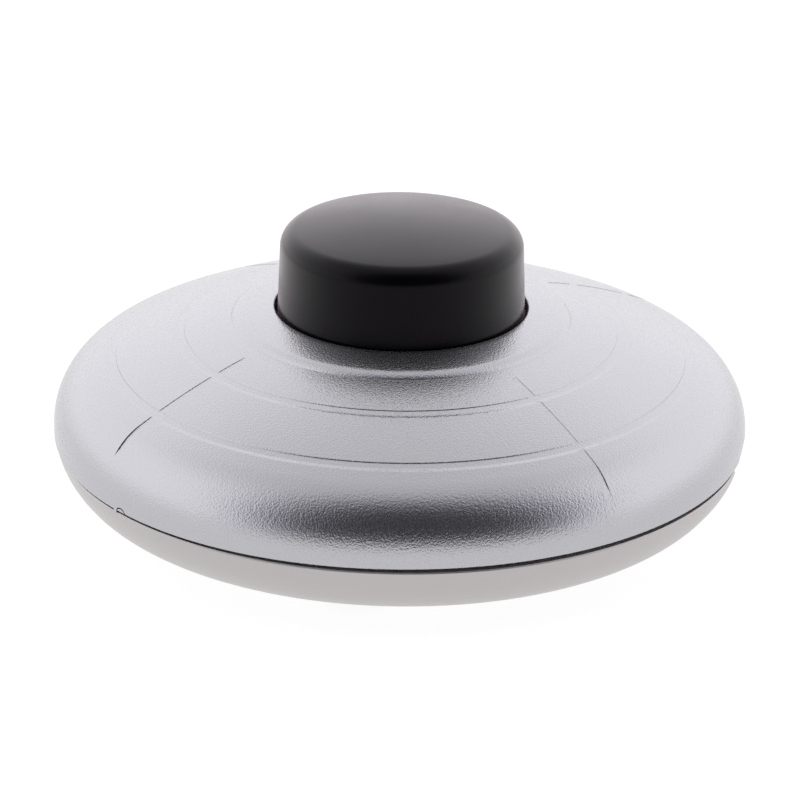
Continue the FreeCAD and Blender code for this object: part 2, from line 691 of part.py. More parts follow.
def make_live_contact(label, turn):
    """Fixed contact: a terminal tab, and a finger with a dimple that reaches under the rotor."""
    body = new_body(label)
    strip = new_sketch(body, "Strip", "XY_Plane", PLATE_TOP)
    finger, tab = "finger_width / 2", "tab_width / 2"
    outline(
        strip,
        ("finger_tip", f"-{finger}"),
        (TAB_START, f"-{finger}"),
        (TAB_START, f"-{tab}"),
        (TAB_END, f"-{tab}"),
        (TAB_END, tab),
        (TAB_START, tab),
        (TAB_START, finger),
        ("finger_tip", finger))
    extrude(body, "Pad", strip, "strip_thickness")
    dimple = new_sketch(body, "Dimple", "XY_Plane", STRIP_TOP)
    circle(dimple, "dimple_radius", "dimple_offset")
    extrude(body, "Pad", dimple, "dimple_height")
    hole = new_sketch(body, "TerminalHole", "XY_Plane", STRIP_TOP)
    circle(hole, "terminal_screw_radius + screw_running", TAB_SCREW)
    extrude(body, "Pocket", hole, "strip_thickness", upward=False)
    body.Placement = FreeCAD.Placement(
        FreeCAD.Vector(0, 0, 0), FreeCAD.Rotation(FreeCAD.Vector(0, 0, 1), turn))
    return body


def make_neutral_link():
    body = new_body("neutral_link")
    strip = new_sketch(body, "Strip", "XY_Plane", PLATE_TOP)
    rectangle(strip, f"-{LINK_END}", f"{LINK_Y} - link_width / 2", LINK_END, f"{LINK_Y} + link_width / 2")
    extrude(body, "Pad", strip, "strip_thickness")
    holes = new_sketch(body, "TerminalHoles", "XY_Plane", STRIP_TOP)
    for side in SIDES:
        circle(holes, "terminal_screw_radius + screw_running", f"{side} * {LINK_SCREW}", LINK_Y)
    extrude(body, "Pocket", holes, "strip_thickness", upward=False)
    return body


def make_return_spring():
    """Wire swept along a helix between the well and the button."""
    lift = "(wire_radius + spring_seat_gap)"
    path = doc.addObject("Part::Helix", "SpringPath")
    height = f"({CEILING} - {WELL_TOP} - 2 * {lift})"
    bind(path, Radius="spring_radius", Height=height, Pitch=f"{height} / spring_turns",
         Placement__Base__z=f"{WELL_TOP} + {lift}")
    wire = doc.addObject("Part::RegularPolygon", "SpringWire")
    wire.Placement.Rotation = FreeCAD.Rotation(FreeCAD.Vector(1, 0, 0), 90)
    bind(wire, Polygon="wire_sides", Circumradius="wire_radius", Placement__Base__x="spring_radius",
         Placement__Base__z=f"{WELL_TOP} + {lift}")
    doc.recompute()
    spring = doc.addObject("Part::Sweep", "return_spring")
    spring.Label = "return_spring"
    spring.Sections = [wire]
    spring.Spine = (path, [f"Edge{index}" for index in range(1, len(path.Shape.Edges) + 1)])
    spring.Solid = True
    spring.Frenet = True
    return spring


def make_cord_clamp(label, turn):
    """Bar across the cord inlet, with two ridges on its underside that grip the cord."""
    body = new_body(label)
    half, end = "(bar_width / 2)", POST_Y
    bar = new_sketch(body, "Bar", "XY_Plane", POST_TOP)
    outline(
        bar,
        (f"{CLAMP_X} + {half}", f"-{end}"),
        (f"{CLAMP_X} + {half}", end, half, 1),
        (CLAMP_X, f"{end} + {half}", half, 1),
        (f"{CLAMP_X} - {half}", end),
        (f"{CLAMP_X} - {half}", f"-{end}", half, 1),
        (CLAMP_X, f"-{end} - {half}", half, 1))
    extrude(body, "Pad", bar, "bar_thickness")
    ridges = new_sketch(body, "Ridges", "XY_Plane", POST_TOP)
    for side in SIDES:
        middle = f"({CLAMP_X} + {side} * ridge_spacing / 2)"
        rectangle(ridges, f"{middle} - ridge_width / 2", "-inlet_width / 2",
                  f"{middle} + ridge_width / 2", "inlet_width / 2")
    extrude(body, "Pad", ridges, "ridge_height", upward=False)
    holes = new_sketch(body, "ScrewHoles", "XY_Plane", POST_TOP)
    for side in SIDES:
        circle(holes, "clamp_screw_radius + shank_clearance", CLAMP_X, f"{side} * {POST_Y}")
    extrude(body, "Pocket", holes, "bar_thickness")
    body.Placement = FreeCAD.Placement(
        FreeCAD.Vector(0, 0, 0), FreeCAD.Rotation(FreeCAD.Vector(0, 0, 1), turn))
    return body


def make_foot(label, x, y):
    body = new_body(label)
    profile = new_sketch(body, "FootProfile", "XZ_Plane")
    outline(
        profile,
        ("0", "0"),
        ("foot_radius - foot_chamfer", "0"),
        ("foot_radius", "foot_chamfer"),
        ("foot_radius", "foot_drop + foot_seat"),
        ("0", "foot_drop + foot_seat"))
    revolve(body, profile)
    bind(body, Placement__Base__x=f"{x} * {FOOT_OFFSET}", Placement__Base__y=f"{y} * {FOOT_OFFSET}")
    return body


def primitive(kind, name, x, y, z, **expressions):
    item = doc.addObject(f"Part::{kind}", name)
    bind(item, Placement__Base__x=x, Placement__Base__y=y, Placement__Base__z=z, **expressions)
    return item


def make_screw(x, y, seat, kind, head_up, cross_drive):
    """Headed screw whose head bears on the seat; its drive is a slot or a cross."""
    radius, length = f"{kind}_screw_radius", f"{kind}_screw_length"
    head_radius, head_height = f"{kind}_head_radius", f"{kind}_head"
    head_z = seat if head_up else f"{seat} - {head_height}"
    shank_z = f"{seat} - {length}" if head_up else seat
    drive_z = f"{seat} + {head_height} - drive_depth" if head_up else head_z
    head = primitive("Cylinder", "Head", x, y, head_z, Radius=head_radius, Height=head_height)
    shank = primitive("Cylinder", "Shank", x, y, shank_z, Radius=radius, Height=length)
    blank = doc.addObject("Part::Fuse", "Blank")
    blank.Base = head
    blank.Tool = shank
    span = f"({head_radius} * drive_share)" if cross_drive else f"({head_radius} + cut_margin)"
    long, narrow = f"2 * {span}", "drive_width"
    bars = [primitive("Box", "Drive", f"{x} - {span}", f"{y} - {narrow} / 2", drive_z,
                      Length=long, Width=narrow, Height="drive_depth")]
    if cross_drive:
        bars.append(primitive("Box", "Drive", f"{x} - {narrow} / 2", f"{y} - {span}", drive_z,
                              Length=narrow, Width=long, Height="drive_depth"))
    screw = blank
    for bar in bars:
        driven = doc.addObject("Part::Cut", "Screw")
        driven.Base = screw
        driven.Tool = bar
        screw = driven
    return screw


def make_screws(label, places, seat, kind, head_up=True, cross_drive=True):
    """Like screws in one group of separate solids."""
    group = doc.addObject("Part::Compound", label)
    group.Label = label
    group.Links = [make_screw(x, y, seat, kind, head_up, cross_drive) for x, y in places]
    return group


pieces = [
    make_upper_housing(),
    make_base_housing(),
    make_push_button(),
    make_return_spring(),
    make_ratchet_rotor(),
    make_contact_bridge(),
    make_contact_carrier(),
    make_pivot_pin(),
    make_live_contact("live_in_contact", 0.0),
    make_live_contact("live_out_contact", 180.0),
    make_neutral_link(),
    make_cord_clamp("cord_clamp_right", 0.0),
    make_cord_clamp("cord_clamp_left", 180.0),
    make_screws("terminal_screws", TERMINALS, STRIP_TOP, "terminal", cross_drive=False),
    make_screws("carrier_screws", [(f"{side} * carrier_screw_x", "carrier_screw_y") for side in SIDES],
                PLATE_TOP, "carrier"),
    make_screws("cord_clamp_screws", [(f"{end} * {CLAMP_X}", f"{side} * {POST_Y}")
                                      for end in SIDES for side in SIDES],
                f"{POST_TOP} + bar_thickness", "clamp"),
    make_screws("housing_screws", [("0", f"{side} * {SCREW_Y}") for side in SIDES],
                "foot_drop + head_recess", "housing", head_up=False),
]
for front, y in (("front", "-1"), ("rear", "1")):
    for hand, x in (("left", "-1"), ("right", "1")):
        pieces.append(make_foot(f"foot_{front}_{hand}", x, y))
doc.recompute()

for item in doc.Objects:
    if {"Invalid", "Error"} & set(item.State):
        raise RuntimeError(f"{item.Name} failed: {item.State}")
for piece in pieces:
    if piece.Shape.isNull() or not piece.Shape.isValid():
        raise RuntimeError(f"{piece.Label} has no valid shape")
os.makedirs("parts", exist_ok=True)
for piece in pieces:
    piece.Shape.exportStep(f"parts/{piece.Label}.step")
    print(piece.Label, len(piece.Shape.Solids), round(piece.Shape.Volume, 2))
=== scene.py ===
import json
import math

import bmesh
import bpy
from mathutils import Matrix, Vector


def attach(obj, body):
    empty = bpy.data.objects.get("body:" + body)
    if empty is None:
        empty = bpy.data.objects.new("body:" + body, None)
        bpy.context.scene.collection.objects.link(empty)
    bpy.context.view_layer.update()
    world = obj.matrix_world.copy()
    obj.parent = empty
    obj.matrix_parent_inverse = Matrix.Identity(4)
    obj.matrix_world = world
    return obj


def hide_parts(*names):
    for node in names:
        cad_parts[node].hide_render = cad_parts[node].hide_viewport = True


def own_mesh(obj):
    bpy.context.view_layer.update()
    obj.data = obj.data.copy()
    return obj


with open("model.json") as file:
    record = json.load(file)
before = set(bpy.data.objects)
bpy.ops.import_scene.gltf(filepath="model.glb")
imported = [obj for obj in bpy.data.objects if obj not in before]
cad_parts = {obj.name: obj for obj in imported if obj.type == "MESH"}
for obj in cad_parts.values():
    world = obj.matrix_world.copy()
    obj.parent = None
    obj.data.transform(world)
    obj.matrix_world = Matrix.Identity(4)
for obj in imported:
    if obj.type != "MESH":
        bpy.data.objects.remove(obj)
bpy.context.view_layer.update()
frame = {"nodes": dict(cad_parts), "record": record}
nodes = frame["nodes"]
mm = 0.001
scene = bpy.context.scene
print("foot switch: frame loaded,", len(nodes), "nodes")


# node helpers, used by shader trees and geometry trees alike
def feed(tree, socket, source):
    if isinstance(source, bpy.types.NodeSocket):
        tree.links.new(source, socket)
    else:
        socket.default_value = source


def addNode(tree, kind, inputs=None, **settings):
    made = tree.nodes.new(kind)
    for key, value in settings.items():
        setattr(made, key, value)
    for key, source in (inputs or {}).items():
        feed(tree, made.inputs[key], source)
    return made


def calc(tree, operation, *terms):
    made = addNode(tree, "ShaderNodeMath", operation=operation)
    for socket, term in zip(made.inputs, terms):
        feed(tree, socket, term)
    return made.outputs[0]


def fade(tree, value, start, end, low=0.0, high=1.0):  # smooth step from start to end
    made = addNode(tree, "ShaderNodeMapRange", {
        "Value": value, "From Min": start, "From Max": end, "To Min": low, "To Max": high})
    made.interpolation_type = "SMOOTHSTEP"
    return made.outputs["Result"]


# materials: one finish each, patterns on Object coordinates in metres
def newFinish(name):
    finish = bpy.data.materials.new(name)
    finish.use_nodes = True
    tree = finish.node_tree
    place = addNode(tree, "ShaderNodeTexCoord").outputs["Object"]
    return finish, tree, tree.nodes["Principled BSDF"], place


def noise(tree, place, scale, detail=2.0, roughness=0.5):
    made = addNode(tree, "ShaderNodeTexNoise", {
        "Vector": place, "Scale": scale, "Detail": detail, "Roughness": roughness})
    return made.outputs["Fac"]


def tones(tree, factor, dark, light):
    made = addNode(tree, "ShaderNodeMix", data_type="RGBA")
    feed(tree, made.inputs["Factor"], factor)
    feed(tree, made.inputs["A"], (*dark, 1.0))
    feed(tree, made.inputs["B"], (*light, 1.0))
    return made.outputs["Result"]


def bump(tree, height, depth):
    return addNode(tree, "ShaderNodeBump", {"Height": height, "Strength": 1.0, "Distance": depth}).outputs["Normal"]


grainSpan = (0.2, 0.8)  # part of a noise's range that a roughness runs over
cloudSpan = (0.25, 0.75)

# dome paint: the flake cells carry a painted glint, each made lighter or darker at random in the base colour; the swirl
# is the paint's own uneven tone
domePaintSet = dict(
    dark=(0.455, 0.45, 0.475), light=(0.495, 0.49, 0.515), metallic=0.95, roughness=(0.23, 0.29),
    grain=5000.0, grainDepth=0.038 * mm, flake=9000.0, flakeGlint=(0.5, 0.25), swirl=70.0, swirlShare=0.3)


def makeDomePaint(s):
    finish, tree, shader, place = newFinish("domePaint")
    grain = noise(tree, place, s["grain"])
    # painted glint: every flake cell gets a random brightness in the base colour, standing in for the sparkle of the
    # paint's flakes
    glintCells = addNode(tree, "ShaderNodeTexVoronoi", {"Vector": place, "Scale": s["flake"]}).outputs["Color"]
    glintLevel = addNode(tree, "ShaderNodeRGBToBW", {"Color": glintCells}).outputs[0]
    glint = calc(tree, "MULTIPLY", calc(tree, "MULTIPLY_ADD", glintLevel, *s["flakeGlint"]), 1 - s["swirlShare"])
    swirl = noise(tree, place, s["swirl"], 3.0)
    # base colour: the swirl's random tone plus the painted flake glint
    swirlAndGlint = calc(tree, "MULTIPLY_ADD", swirl, s["swirlShare"], glint)
    feed(tree, shader.inputs["Base Color"], tones(tree, swirlAndGlint, s["dark"], s["light"]))
    feed(tree, shader.inputs["Roughness"], fade(tree, grain, *grainSpan, *s["roughness"]))
    feed(tree, shader.inputs["Normal"], bump(tree, grain, s["grainDepth"]))
    shader.inputs["Metallic"].default_value = s["metallic"]
    return finish


basePlasticSet = dict(
    dark=(0.47, 0.45, 0.45), light=(0.52, 0.495, 0.495), metallic=0.75, roughness=(0.34, 0.42),
    grain=3600.0, grainDepth=0.003 * mm, cloud=90.0)


def makeBasePlastic(s):
    finish, tree, shader, place = newFinish("basePlastic")
    cloud = noise(tree, place, s["cloud"], 4.0)
    grain = noise(tree, place, s["grain"])
    feed(tree, shader.inputs["Base Color"], tones(tree, cloud, s["dark"], s["light"]))
    feed(tree, shader.inputs["Roughness"], fade(tree, cloud, *cloudSpan, *s["roughness"]))
    feed(tree, shader.inputs["Normal"], bump(tree, grain, s["grainDepth"]))
    shader.inputs["Metallic"].default_value = s["metallic"]
    return finish


buttonPlasticSet = dict(
    dark=(0.0008, 0.0007, 0.001), light=(0.0016, 0.0014, 0.0018), roughness=(0.22, 0.28),
    gloss=1.8, glossTint=(0.1, 0.09, 0.1),  # little shine face on, full shine at a glance
    haze=0.35, hazeSpread=0.32, hazeTint=(1.0, 0.75, 0.85), grain=4200.0, grainDepth=0.0025 * mm, cloud=160.0)


def makeButtonPlastic(s):
    finish, tree, shader, place = newFinish("buttonPlastic")
    cloud = noise(tree, place, s["cloud"], 4.0)
    grain = noise(tree, place, s["grain"])
    feed(tree, shader.inputs["Base Color"], tones(tree, cloud, s["dark"], s["light"]))
    feed(tree, shader.inputs["Roughness"], fade(tree, cloud, *cloudSpan, *s["roughness"]))
    feed(tree, shader.inputs["Normal"], bump(tree, grain, s["grainDepth"]))
    shader.inputs["IOR"].default_value = s["gloss"]
    shader.inputs["Specular Tint"].default_value = (*s["glossTint"], 1.0)
    shader.inputs["Sheen Weight"].default_value = s["haze"]
    shader.inputs["Sheen Roughness"].default_value = s["hazeSpread"]
    shader.inputs["Sheen Tint"].default_value = (*s["hazeTint"], 1.0)
    return finish


mouldingSet = dict(
    rotor=dict(dark=(0.76, 0.75, 0.70), light=(0.84, 0.83, 0.79), roughness=(0.28, 0.38)),
    carrier=dict(dark=(0.68, 0.66, 0.60), light=(0.78, 0.76, 0.70), roughness=(0.40, 0.52)),
    clamp=dict(dark=(0.66, 0.65, 0.62), light=(0.75, 0.74, 0.71), roughness=(0.42, 0.55)),
    cloud=220.0, grain=3000.0, grainDepth=0.004 * mm)


def makeMoulding(name, s):
    finish, tree, shader, place = newFinish(name + "Moulding")
    cloud = noise(tree, place, mouldingSet["cloud"], 4.0)
    grain = noise(tree, place, mouldingSet["grain"], 3.0)
    feed(tree, shader.inputs["Base Color"], tones(tree, cloud, s["dark"], s["light"]))
    feed(tree, shader.inputs["Roughness"], fade(tree, cloud, *cloudSpan, *s["roughness"]))
    feed(tree, shader.inputs["Normal"], bump(tree, grain, mouldingSet["grainDepth"]))
    return finish


metalSet = dict(
    brass=dict(dark=(0.62, 0.43, 0.16), light=(0.78, 0.58, 0.27), roughness=(0.20, 0.38),
               drawn=(90.0, 4200.0, 900.0)),
    steel=dict(dark=(0.48, 0.49, 0.50), light=(0.66, 0.66, 0.67), roughness=(0.22, 0.36),
               drawn=(1400.0, 1400.0, 1400.0)),
    stain=420.0, depth=0.0025 * mm)


def makeMetal(name, s):
    finish, tree, shader, place = newFinish(name + "Metal")
    stretched = addNode(tree, "ShaderNodeMapping", {"Vector": place, "Scale": s["drawn"]}).outputs["Vector"]
    lines = noise(tree, stretched, 1.0, 4.0, 0.6)
    stain = noise(tree, place, metalSet["stain"], 3.0)
    feed(tree, shader.inputs["Base Color"], tones(tree, stain, s["dark"], s["light"]))
    feed(tree, shader.inputs["Roughness"], fade(tree, lines, *grainSpan, *s["roughness"]))
    feed(tree, shader.inputs["Normal"], bump(tree, lines, metalSet["depth"]))
    shader.inputs["Metallic"].default_value = 1.0
    return finish


rubberSet = dict(
    dark=(0.018, 0.018, 0.018), light=(0.045, 0.044, 0.042), roughness=(0.62, 0.85),
    grain=1800.0, grainDepth=0.008 * mm, dust=300.0, dustTone=(0.45, 0.8), dustDull=(0.3, 0.7))


def makeRubber(s):
    finish, tree, shader, place = newFinish("footRubber")
    dust = noise(tree, place, s["dust"], 5.0, 0.6)
    grain = noise(tree, place, s["grain"], 3.0)
    feed(tree, shader.inputs["Base Color"], tones(tree, fade(tree, dust, *s["dustTone"]), s["dark"], s["light"]))
    feed(tree, shader.inputs["Roughness"], fade(tree, dust, *s["dustDull"], *s["roughness"]))
    feed(tree, shader.inputs["Normal"], bump(tree, grain, s["grainDepth"]))
    return finish


finishes = {
    "dome_paint": makeDomePaint(domePaintSet),
    "base_plastic": makeBasePlastic(basePlasticSet),
    "button_plastic": makeButtonPlastic(buttonPlasticSet),
    "rotor_plastic": makeMoulding("rotor", mouldingSet["rotor"]),
    "carrier_plastic": makeMoulding("carrier", mouldingSet["carrier"]),
    "clamp_plastic": makeMoulding("clamp", mouldingSet["clamp"]),
    "brass": makeMetal("brass", metalSet["brass"]),
    "steel": makeMetal("steel", metalSet["steel"]),
    "rubber": makeRubber(rubberSet),
}
print("foot switch: finishes made,", len(finishes))


# geometry trees: each grows one piece, which is then kept as a plain mesh on its body
def newTree(name, sizes):
    tree = bpy.data.node_groups.new(name, "GeometryNodeTree")
    kinds = {int: "NodeSocketInt", float: "NodeSocketFloat", bpy.types.Object: "NodeSocketObject"}
    tree.interface.new_socket("Geometry", in_out="INPUT", socket_type="NodeSocketGeometry")
    for label, kind in sizes.items():
        tree.interface.new_socket(label, in_out="INPUT", socket_type=kinds[kind])
    tree.interface.new_socket("Geometry", in_out="OUTPUT", socket_type="NodeSocketGeometry")
    return tree, addNode(tree, "NodeGroupInput").outputs


def closeTree(tree, geometry, slot, crease=35.0):  # soft faces, hard edges past the crease, finish
    soft = addNode(tree, "GeometryNodeRealizeInstances", {"Geometry": geometry}).outputs[0]
    soft = addNode(tree, "GeometryNodeSetShadeSmooth", {"Geometry": soft}).outputs[0]
    angle = addNode(tree, "GeometryNodeInputMeshEdgeAngle").outputs["Unsigned Angle"]
    hard = addNode(tree, "GeometryNodeSetShadeSmooth", {
        "Geometry": soft, "Selection": calc(tree, "GREATER_THAN", angle, math.radians(crease)),
        "Shade Smooth": False}, domain="EDGE").outputs[0]
    done = addNode(tree, "GeometryNodeSetMaterial", {"Geometry": hard, "Material": finishes[slot]}).outputs[0]
    addNode(tree, "NodeGroupOutput", {"Geometry": done})


def seedObject(name, points, closed=False):  # points in mm, joined by edges in turn
    mesh = bpy.data.meshes.new(name)
    links = [(here, here + 1) for here in range(len(points) - 1)]
    if closed:
        links.append((len(points) - 1, 0))
    mesh.from_pydata([[mm * part for part in point] for point in points], links, [])
    seed = bpy.data.objects.new(name, mesh)
    scene.collection.objects.link(seed)
    return seed


def grow(name, tree, seed, sizes, slot, body, *replaced):
    modifier = seed.modifiers.new(name, "NODES")
    modifier.node_group = tree
    for item in tree.interface.items_tree:
        if item.in_out == "INPUT" and item.name in sizes:
            modifier[item.identifier] = sizes[item.name]
    seen = seed.evaluated_get(bpy.context.evaluated_depsgraph_get())
    mesh = bpy.data.meshes.new_from_object(seen)
    mesh.name = name
    seed.modifiers.remove(modifier)
    bpy.data.objects.remove(seed)
    work = bmesh.new()
    work.from_mesh(mesh)
    bmesh.ops.recalc_face_normals(work, faces=work.faces)
    work.to_mesh(mesh)
    work.free()
    piece = bpy.data.objects.new(name, mesh)
    scene.collection.objects.link(piece)
    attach(piece, body)
    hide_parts(*replaced)
    print("foot switch:", name, "grown,", len(mesh.polygons), "faces")
    return piece


mergeGap = 0.001 * mm  # closer corners become one where a turn closes


def spin(tree, profile, columns, closed, turn=None, sink=None):
    # one row of a grid for each point of the profile, one column for each step of the turn
    count = addNode(tree, "GeometryNodeAttributeDomainSize", {"Geometry": profile}).outputs["Point Count"]
    stride = calc(tree, "ADD", columns, 1.0)
    grid = addNode(tree, "GeometryNodeMeshGrid", {
        "Vertices X": calc(tree, "ADD", count, 1.0 if closed else 0.0), "Vertices Y": stride}).outputs["Mesh"]
    index = calc(tree, "ADD", addNode(tree, "GeometryNodeInputIndex").outputs[0], 0.5)
    row = calc(tree, "FLOOR", calc(tree, "DIVIDE", index, stride))
    column = calc(tree, "FLOOR", calc(tree, "SUBTRACT", index, calc(tree, "MULTIPLY", row, stride)))

    def sample(field):
        picked = addNode(tree, "GeometryNodeSampleIndex", {
            "Geometry": profile, "Value": field, "Index": calc(tree, "MODULO", row, count)}, data_type="FLOAT_VECTOR")
        parts = addNode(tree, "ShaderNodeSeparateXYZ", {"Vector": picked.outputs["Value"]}).outputs
        return parts["X"], parts["Z"]

    radius, height = sample(addNode(tree, "GeometryNodeInputPosition").outputs[0])
    if turn is None:
        angle = calc(tree, "MULTIPLY", calc(tree, "DIVIDE", column, columns), math.tau)
    else:
        angle, share = turn(column, radius)
        sunkRadius, sunkHeight = sample(sink)
        radius = calc(tree, "MULTIPLY_ADD", sunkRadius, share, radius)
        height = calc(tree, "MULTIPLY_ADD", sunkHeight, share, height)
    place = addNode(tree, "ShaderNodeCombineXYZ", {
        "X": calc(tree, "MULTIPLY", radius, calc(tree, "COSINE", angle)),
        "Y": calc(tree, "MULTIPLY", radius, calc(tree, "SINE", angle)), "Z": height}).outputs[0]
    turned = addNode(tree, "GeometryNodeSetPosition", {"Geometry": grid, "Position": place}).outputs[0]
    return addNode(tree, "GeometryNodeMergeByDistance", {"Geometry": turned, "Distance": mergeGap}).outputs[0]


def cut(tree, mesh, *tools, operation="DIFFERENCE"):
    made = addNode(tree, "GeometryNodeMeshBoolean", operation=operation, solver="MANIFOLD")
    whole = made.inputs["Mesh 1"] if operation == "DIFFERENCE" else made.inputs["Mesh 2"]
    tree.links.new(mesh, whole)
    for tool in tools:
        tree.links.new(tool, made.inputs["Mesh 2"])
    return made.outputs["Mesh"]


def moved(tree, mesh, offset=(0, 0, 0), turn=(0, 0, 0)):
    made = addNode(tree, "GeometryNodeTransform", {
        "Geometry": mesh, "Translation": [mm * part for part in offset],
        "Rotation": [math.radians(part) for part in turn]})
    return made.outputs[0]


def bend(centre, radius, start, end, steps):  # arc of a profile, angles from upright
    points = []
    for step in range(steps + 1):
        angle = math.radians(start + (end - start) * step / steps)
        points.append((centre[0] + radius * math.sin(angle), 0, centre[1] + radius * math.cos(angle)))
    return points


def ease(value, start, end):
    t = min(max((value - start) / (end - start), 0.0), 1.0)
    return t * t * (3 - 2 * t)


# silver dome, turned from its profile; the radial grooves sink in along narrow lanes of columns
domeSet = dict(
    radius=36.0, wall=2.0, rim=7.72, rimRound=0.3, rimTilt=0.0039, rimFade=0.6,
    shoulder=7.0, shoulderZ=8.91, crown=77.0,
    hole=13.05, holeRound=0.25, holeLip=2.1, collar=17.6, collarTop=0.45, collarEdge=1.05, collarRound=1.65,
    rings=((22.97, 0.07), (30.07, 0.095)), ringWidth=1.18, ringWall=0.04, ringSlope=0.56, ringRows=(4, 8),
    spokeStart=19.3, spokeEnd=34.9, spokeDepth=(0.05, 0.11), spokeTurn=-0.3,
    spokeDeepen=1.0,  # the depth starts to grow this far inside the outer ring
    spokeRise=(0.1, 0.25), spokeFall=(0.6, 0.1),  # before and after the start, before and after the end
    spokeWidth=0.70, spokeWall=0.012, spokeMargin=0.12, columns=92,  # columns in a quarter turn
    sleeve=(15.0, 16.6), sleeveDepth=6.2, keyWidth=2.4, keyDepth=1.0, keyRoot=0.5,
    bossY=26.2, bossRadius=3.6, bossFoot=8.2, pilotRadius=1.55, pilotDepth=4.7, archRadius=9.0, inletWidth=8.6,
    pryRadius=0.89, pryGap=0.13, pryDepth=0.6, pryDrop=0.39, pryAzimuth=-131.6,
    nubRadius=0.25, nubReach=0.42, nubDrop=0.1, nubAzimuth=-133.5, cutOver=1.0,
    steps=dict(hole=6, collar=6, collarEdge=8, shoulder=40, rim=6, inside=10, roof=8),
    collarRows=(0.15, 0.4), spokeRows=(0.0, 0.06, 0.12), crownRows=30, rowGap=0.2, crease=30.0)


def domeProfile(s):
    steps = s["steps"]
    crownZ = s["shoulderZ"] - math.sqrt((s["crown"] - s["shoulder"]) ** 2 - (s["radius"] - s["shoulder"]) ** 2)
    centre, corner = (0.0, crownZ), (s["radius"] - s["shoulder"], s["shoulderZ"])
    edge = math.degrees(math.asin(corner[0] / (s["crown"] - s["shoulder"])))

    def lean(r, lift=0.0):  # angle from upright at radius r, on the crown raised by lift
        return math.degrees(math.asin(r / (s["crown"] + lift)))

    def height(r, lift=0.0):
        return crownZ + math.sqrt((s["crown"] + lift) ** 2 - r * r)

    holeTop = s["hole"] + s["holeRound"]
    stop = height(s["hole"], s["collarTop"]) - s["holeLip"]
    top = height(holeTop, s["collarTop"])
    shelf = s["collar"] - s["collarEdge"]
    points = [(s["hole"], 0, stop + (top - s["holeRound"] - stop) * step / 3) for step in range(3)]
    points += bend((holeTop, top - s["holeRound"]), s["holeRound"], -90, 0, steps["hole"])[:-1]
    inner, outer = lean(holeTop, s["collarTop"]), lean(shelf, s["collarTop"])
    points += bend(centre, s["crown"] + s["collarTop"], inner, outer, steps["collar"])
    # edge of the collar: one arc through its two ends
    a, b = points[-1], (s["collar"], 0, height(s["collar"]))
    chord = math.dist(a, b)
    tilt = math.degrees(math.atan2(a[2] - b[2], b[0] - a[0]))
    sweep = math.degrees(math.asin(chord / 2 / s["collarRound"]))
    far = math.sqrt(s["collarRound"] ** 2 - chord ** 2 / 4)
    heart = ((a[0] + b[0]) / 2 - far * math.sin(math.radians(tilt)),
             (a[2] + b[2]) / 2 - far * math.cos(math.radians(tilt)))
    points += bend(heart, s["collarRound"], tilt - sweep, tilt + sweep, steps["collarEdge"])[1:]
    # crown, with close rows at the ring grooves
    half, wall, slope = s["ringWidth"] / 2, s["ringWall"], s["ringSlope"]

    def ringDrop(r):  # steep on the inside of each ring, easing back up on the outside
        return sum(depth * ease(r, ring - half, ring - half + wall) * (1 - ease(r, ring + half - slope, ring + half))
                   for ring, depth in s["rings"])

    radii = {s["collar"] + row for row in s["collarRows"]}
    wallRows, slopeRows = s["ringRows"]
    for ring, _ in s["rings"]:
        radii |= {ring - half + wall * row / wallRows for row in range(-1, wallRows + 2)}
        radii |= {ring + half - slope * row / slopeRows for row in range(-1, slopeRows + 2)}
    radii |= {s["spokeStart"] + side * row for side in (-1, 1) for row in s["spokeRows"]}
    last = s["crown"] * math.sin(math.radians(edge))
    fill = [s["collar"] + (last - s["collar"]) * row / s["crownRows"] for row in range(1, s["crownRows"])]
    radii |= {r for r in fill if min(abs(r - other) for other in radii) > s["rowGap"]}
    for r in sorted(radii):
        points.append((r, 0, height(r) - ringDrop(r)))
    points += bend(corner, s["shoulder"], edge, 90, steps["shoulder"])
    outsideRows = len(points)
    rimTop = s["rim"] + s["rimRound"]
    points += [(s["radius"], 0, s["shoulderZ"] + (rimTop - s["shoulderZ"]) * step / 4) for step in (1, 2, 3)]
    points += bend((s["radius"] - s["rimRound"], rimTop), s["rimRound"], 90, 180, steps["rim"])
    inside = s["radius"] - s["wall"]
    points += [(inside, 0, s["rim"]), (inside, 0, (s["rim"] + s["shoulderZ"]) / 2)]
    points += bend(corner, s["shoulder"] - s["wall"], 90, edge, steps["inside"])
    points += bend(centre, s["crown"] - s["wall"], edge, lean(s["sleeve"][1], -s["wall"]), steps["roof"])[1:]
    low = stop - s["sleeveDepth"]
    points += [(s["sleeve"][1], 0, low), (s["sleeve"][0], 0, low), (s["sleeve"][0], 0, stop)]
    # how far each point sinks in a radial groove: not within a ring, and deeper over the shoulder
    sinks = []
    shallow, deep = s["spokeDepth"]
    (before, after), (fall, tail) = s["spokeRise"], s["spokeFall"]
    deepenFrom = s["rings"][1][0] - s["spokeDeepen"]
    for row, (r, _, z) in enumerate(points):
        depth = max(shallow + (deep - shallow) * ease(r, deepenFrom, s["spokeEnd"]) - ringDrop(r), 0.0)
        depth *= ease(r, s["spokeStart"] - before, s["spokeStart"] + after)
        depth *= (1 - ease(r, s["spokeEnd"] - fall, s["spokeEnd"] + tail)) * (row < outsideRows)
        middle = centre if r < last else corner
        away = math.hypot(r - middle[0], z - middle[1])
        sinks.append((mm * depth * (middle[0] - r) / away, 0, mm * depth * (middle[1] - z) / away))
    return points, sinks, height


